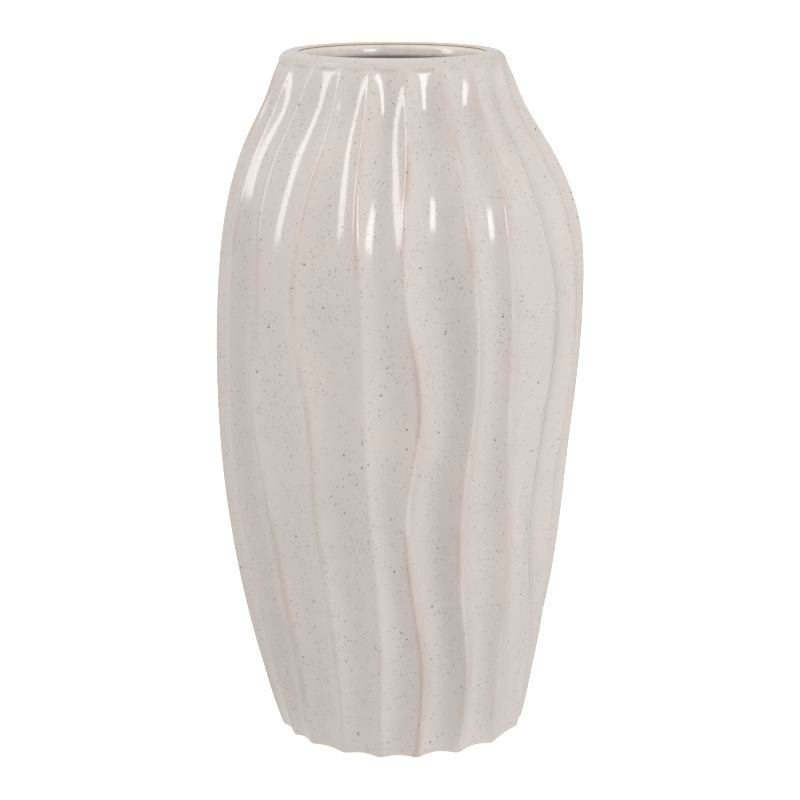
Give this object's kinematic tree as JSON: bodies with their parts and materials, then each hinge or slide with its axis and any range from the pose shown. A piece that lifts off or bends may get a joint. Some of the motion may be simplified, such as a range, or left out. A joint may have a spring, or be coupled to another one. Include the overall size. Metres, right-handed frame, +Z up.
{
  "type": "vase",
  "caption": "Tall belly-shaped stoneware vase with sharp wandering vertical ridges, a smooth rolled lip, speckled glaze inside and out, and felt foot pads.",
  "frame": {"origin": "middle of the belly's outline, on the surface that the vase stands on", "axes": "+Z up the vase towards its mouth, -Y towards the front, +X to the right seen from the front"},
  "size_m": [0.1594, 0.159, 0.3],
  "materials": {
    "bare_stoneware": "unglazed warm buff clay, dry and slightly gritty",
    "speckled_glaze": "satin to glossy warm greige glaze with fine dark iron speckles, breaking peach on the crests",
    "liner_glaze": "glossy greige liner glaze with fine dark speckles",
    "underside_glaze": "thin satin greige glaze",
    "felt": "dense grey-brown pressed felt"
  },
  "bodies": {
    "root": {"stoneware_body": "bare_stoneware", "outer_glaze": "speckled_glaze", "liner_glaze": "liner_glaze", "underside_glaze": "underside_glaze", "foot_pad_1": "felt", "foot_pad_2": "felt", "foot_pad_3": "felt", "foot_pad_4": "felt"}
  },
  "joints": []
}
